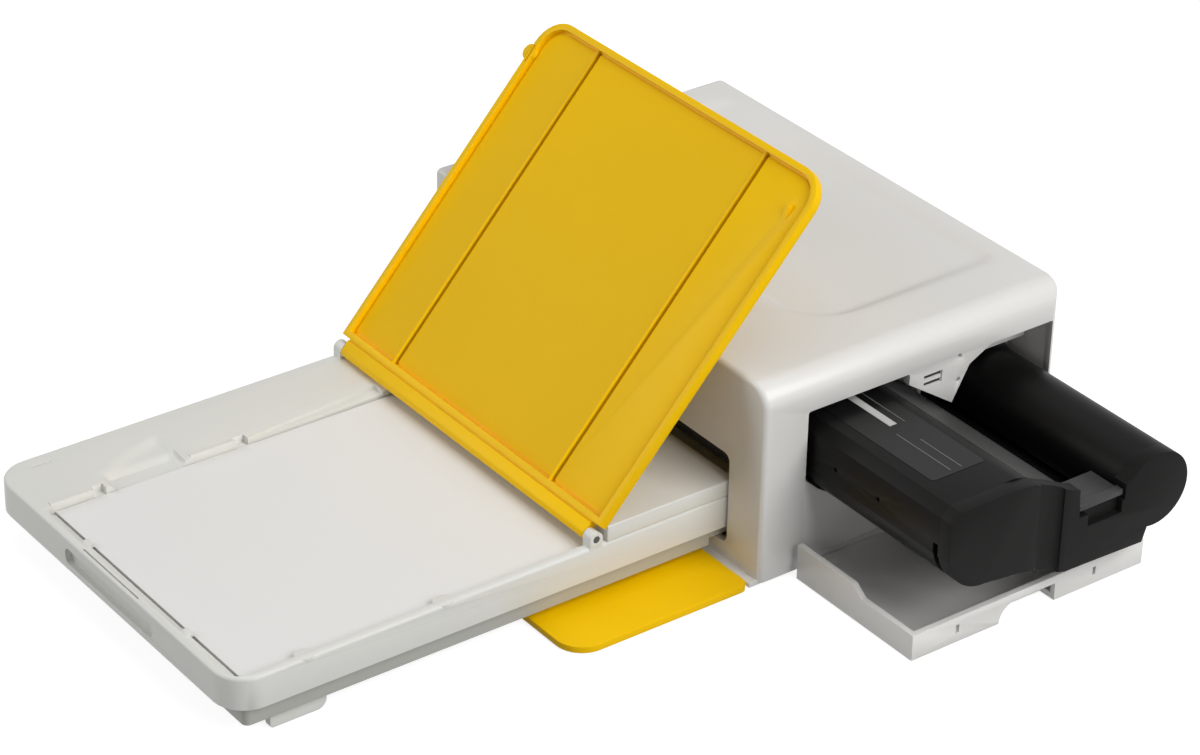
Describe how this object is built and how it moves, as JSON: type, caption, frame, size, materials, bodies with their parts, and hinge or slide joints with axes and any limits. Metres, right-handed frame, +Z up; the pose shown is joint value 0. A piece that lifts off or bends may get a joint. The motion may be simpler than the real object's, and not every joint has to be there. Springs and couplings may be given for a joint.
{
  "type": "compact photo printer",
  "caption": "Small dye ribbon photo printer with a plug-in paper tray under a hinged lid, a cartridge half out of its side bay, a side door and a front cover.",
  "frame": {"origin": "middle of the footprint on the desk, under the middle of the whole printer with its tray, front cover, side door and cartridge as they stand", "axes": "+X from the printer to its side door, +Y from the tray into the printer, +Z up from the desk"},
  "size_m": [0.2258, 0.2774, 0.1151],
  "materials": {
    "case_white": "smooth white moulding with a soft sheen",
    "panel_grey": "fine matt texture",
    "foot_rubber": "soft matt rubber",
    "roller_rubber": "ground rubber",
    "screw_steel": "bright plated steel",
    "frame_steel": "galvanised sheet steel",
    "motor_steel": "plain steel can",
    "head_aluminium": "extruded heat sink",
    "heater_glaze": "smooth glaze",
    "board_green": "solder mask",
    "socket_black": "moulded",
    "gear_nylon": "natural nylon",
    "pinion_brass": "hobbed",
    "belt_rubber": "toothless belt",
    "pin_steel": "ground pins",
    "cover_yellow": "tinted moulding with a satin face",
    "tray_white": "smooth white moulding",
    "tray_grey": "fine matt texture",
    "plate_steel": "thin rolled plate",
    "paper_white": "coated photo paper",
    "cartridge_black": "polished black moulding",
    "latch_grey": "moulded",
    "spool_black": "moulded core with wound film",
    "film_dark": "thin dye film"
  },
  "bodies": {
    "printer": {"outer_cover": "case_white", "base_plate": "panel_grey", "bay_sill": "case_white", "rear_panel": "panel_grey", "rubber_feet": "foot_rubber", "case_screws": "screw_steel", "left_frame": "frame_steel", "right_frame": "frame_steel", "door_catch": "case_white", "control_board": "board_green", "power_socket": "socket_black", "usb_socket": "pin_steel", "gear_bracket": "frame_steel", "motor": "motor_steel", "pickup_belt": "belt_rubber", "head_guide": "frame_steel", "front_cover_pins": "pin_steel", "side_door_pins": "pin_steel"},
    "motor_rotor": {"motor_pinion": "pinion_brass"},
    "drive_gear": {"main_gear": "gear_nylon"},
    "idler_gear": {"link_gear": "gear_nylon"},
    "platen": {"platen_roller": "roller_rubber", "platen_gear": "gear_nylon"},
    "feed": {"feed_roller": "roller_rubber", "feed_gear": "gear_nylon"},
    "pinch": {"pinch_roller": "pin_steel"},
    "ribbon_idler": {"ribbon_gear": "gear_nylon"},
    "takeup_drive": {"takeup_hub": "gear_nylon"},
    "pickup": {"pickup_roller": "roller_rubber"},
    "print_head": {"thermal_head": "head_aluminium", "heater_strip": "heater_glaze"},
    "button": {"power_button": "case_white"},
    "front_flap": {"front_cover": "cover_yellow"},
    "door": {"side_door": "case_white"},
    "tray": {"tray_base": "tray_grey", "tray_frame": "tray_white", "tray_rear_cover": "tray_white", "lid_pins": "pin_steel", "lift_spring": "pin_steel"},
    "paper_lift": {"lift_plate": "plate_steel", "photo_paper": "paper_white"},
    "leg_right": {"tray_leg_right": "tray_white"},
    "leg_left": {"tray_leg_left": "tray_white"},
    "lid": {"tray_lid": "cover_yellow"},
    "cartridge": {"supply_housing": "cartridge_black", "takeup_housing": "cartridge_black", "cartridge_cap": "cartridge_black", "ribbon_film": "film_dark"},
    "latch": {"cartridge_latch": "latch_grey"},
    "supply_reel": {"supply_spool": "spool_black"},
    "takeup_reel": {"takeup_spool": "spool_black"}
  },
  "joints": [
    {"name": "tray_slide", "type": "slide", "parent": "printer", "child": "tray", "axis": [0, -1, 0], "range_m": [0, 0.03]},
    {"name": "lid_hinge", "type": "hinge", "parent": "tray", "child": "lid", "pos_m": [-0.03012, -0.01865, 0.0246], "axis": [1, 0, 0], "range_deg": [0, 132]},
    {"name": "lift_slide", "type": "slide", "parent": "tray", "child": "paper_lift", "axis": [0, 0, -1], "range_m": [0, 0.003], "stiffness_N_per_m": 200, "springref_m": -0.004, "deforming": ["lift_spring"]},
    {"name": "leg_right_hinge", "type": "hinge", "parent": "tray", "child": "leg_right", "pos_m": [0.02998, -0.11505, 0.0071], "axis": [0, 1, 0], "range_deg": [0, 90]},
    {"name": "leg_left_hinge", "type": "hinge", "parent": "tray", "child": "leg_left", "pos_m": [-0.09022, -0.11505, 0.0071], "axis": [0, -1, 0], "range_deg": [0, 90]},
    {"name": "cartridge_slide", "type": "slide", "parent": "printer", "child": "cartridge", "axis": [1, 0, 0], "range_m": [-0.062, 0.066]},
    {"name": "latch_press", "type": "slide", "parent": "cartridge", "child": "latch", "axis": [0, 0, -1], "range_m": [0, 0.0012], "stiffness_N_per_m": 400, "springref_m": -0.001},
    {"name": "supply_spin", "type": "hinge", "parent": "cartridge", "child": "supply_reel", "pos_m": [0.04988, 0.05865, 0.0358], "axis": [1, 0, 0], "continuous": true},
    {"name": "takeup_spin", "type": "hinge", "parent": "cartridge", "child": "takeup_reel", "pos_m": [0.04988, 0.12365, 0.03], "axis": [1, 0, 0], "continuous": true},
    {"name": "door_hinge", "type": "hinge", "parent": "printer", "child": "door", "pos_m": [0.05423, 0.08765, 0.0015], "axis": [0, -1, 0], "range_deg": [0, 9]},
    {"name": "flap_hinge", "type": "hinge", "parent": "printer", "child": "front_flap", "pos_m": [-0.03012, 0.02565, 0.0014], "axis": [-1, 0, 0], "range_deg": [0, 2.5]},
    {"name": "head_lift", "type": "slide", "parent": "printer", "child": "print_head", "axis": [0, 0, -1], "range_m": [0, 0.0024], "stiffness_N_per_m": 300, "springref_m": -0.001},
    {"name": "power_press", "type": "slide", "parent": "printer", "child": "button", "axis": [0, 0, -1], "range_m": [0, 0.0008], "stiffness_N_per_m": 500, "springref_m": -0.001},
    {"name": "platen_spin", "type": "hinge", "parent": "printer", "child": "platen", "pos_m": [-0.08463, 0.09765, 0.0152], "axis": [1, 0, 0], "continuous": true},
    {"name": "feed_spin", "type": "hinge", "parent": "printer", "child": "feed", "pos_m": [-0.08463, 0.11015, 0.0122], "axis": [1, 0, 0], "continuous": true},
    {"name": "pinch_spin", "type": "hinge", "parent": "printer", "child": "pinch", "pos_m": [-0.08463, 0.11015, 0.01965], "axis": [1, 0, 0], "continuous": true},
    {"name": "link_spin", "type": "hinge", "parent": "printer", "child": "idler_gear", "pos_m": [-0.08463, 0.1056, 0.02079], "axis": [1, 0, 0], "continuous": true},
    {"name": "ribbon_spin", "type": "hinge", "parent": "printer", "child": "ribbon_idler", "pos_m": [-0.08463, 0.11234, 0.02779], "axis": [1, 0, 0], "continuous": true},
    {"name": "takeup_drive_spin", "type": "hinge", "parent": "printer", "child": "takeup_drive", "pos_m": [-0.08463, 0.12365, 0.03], "axis": [1, 0, 0], "continuous": true},
    {"name": "main_spin", "type": "hinge", "parent": "printer", "child": "drive_gear", "pos_m": [-0.08463, 0.09905, 0.02953], "axis": [1, 0, 0], "continuous": true},
    {"name": "motor_spin", "type": "hinge", "parent": "printer", "child": "motor_rotor", "pos_m": [-0.08463, 0.09286, 0.03778], "axis": [1, 0, 0], "continuous": true},
    {"name": "pickup_spin", "type": "hinge", "parent": "printer", "child": "pickup", "pos_m": [-0.08463, 0.03765, 0.0268], "axis": [1, 0, 0], "continuous": true}
  ],
  "couplings": [
    {"joint": "feed_spin", "follows": "platen_spin", "ratio": 1},
    {"joint": "pinch_spin", "follows": "platen_spin", "ratio": -2.2727},
    {"joint": "link_spin", "follows": "platen_spin", "ratio": -1.2857},
    {"joint": "ribbon_spin", "follows": "platen_spin", "ratio": 1},
    {"joint": "takeup_drive_spin", "follows": "platen_spin", "ratio": -0.9},
    {"joint": "main_spin", "follows": "platen_spin", "ratio": 0.81818},
    {"joint": "motor_spin", "follows": "platen_spin", "ratio": -1.5},
    {"joint": "pickup_spin", "follows": "platen_spin", "ratio": 0.81818}
  ]
}
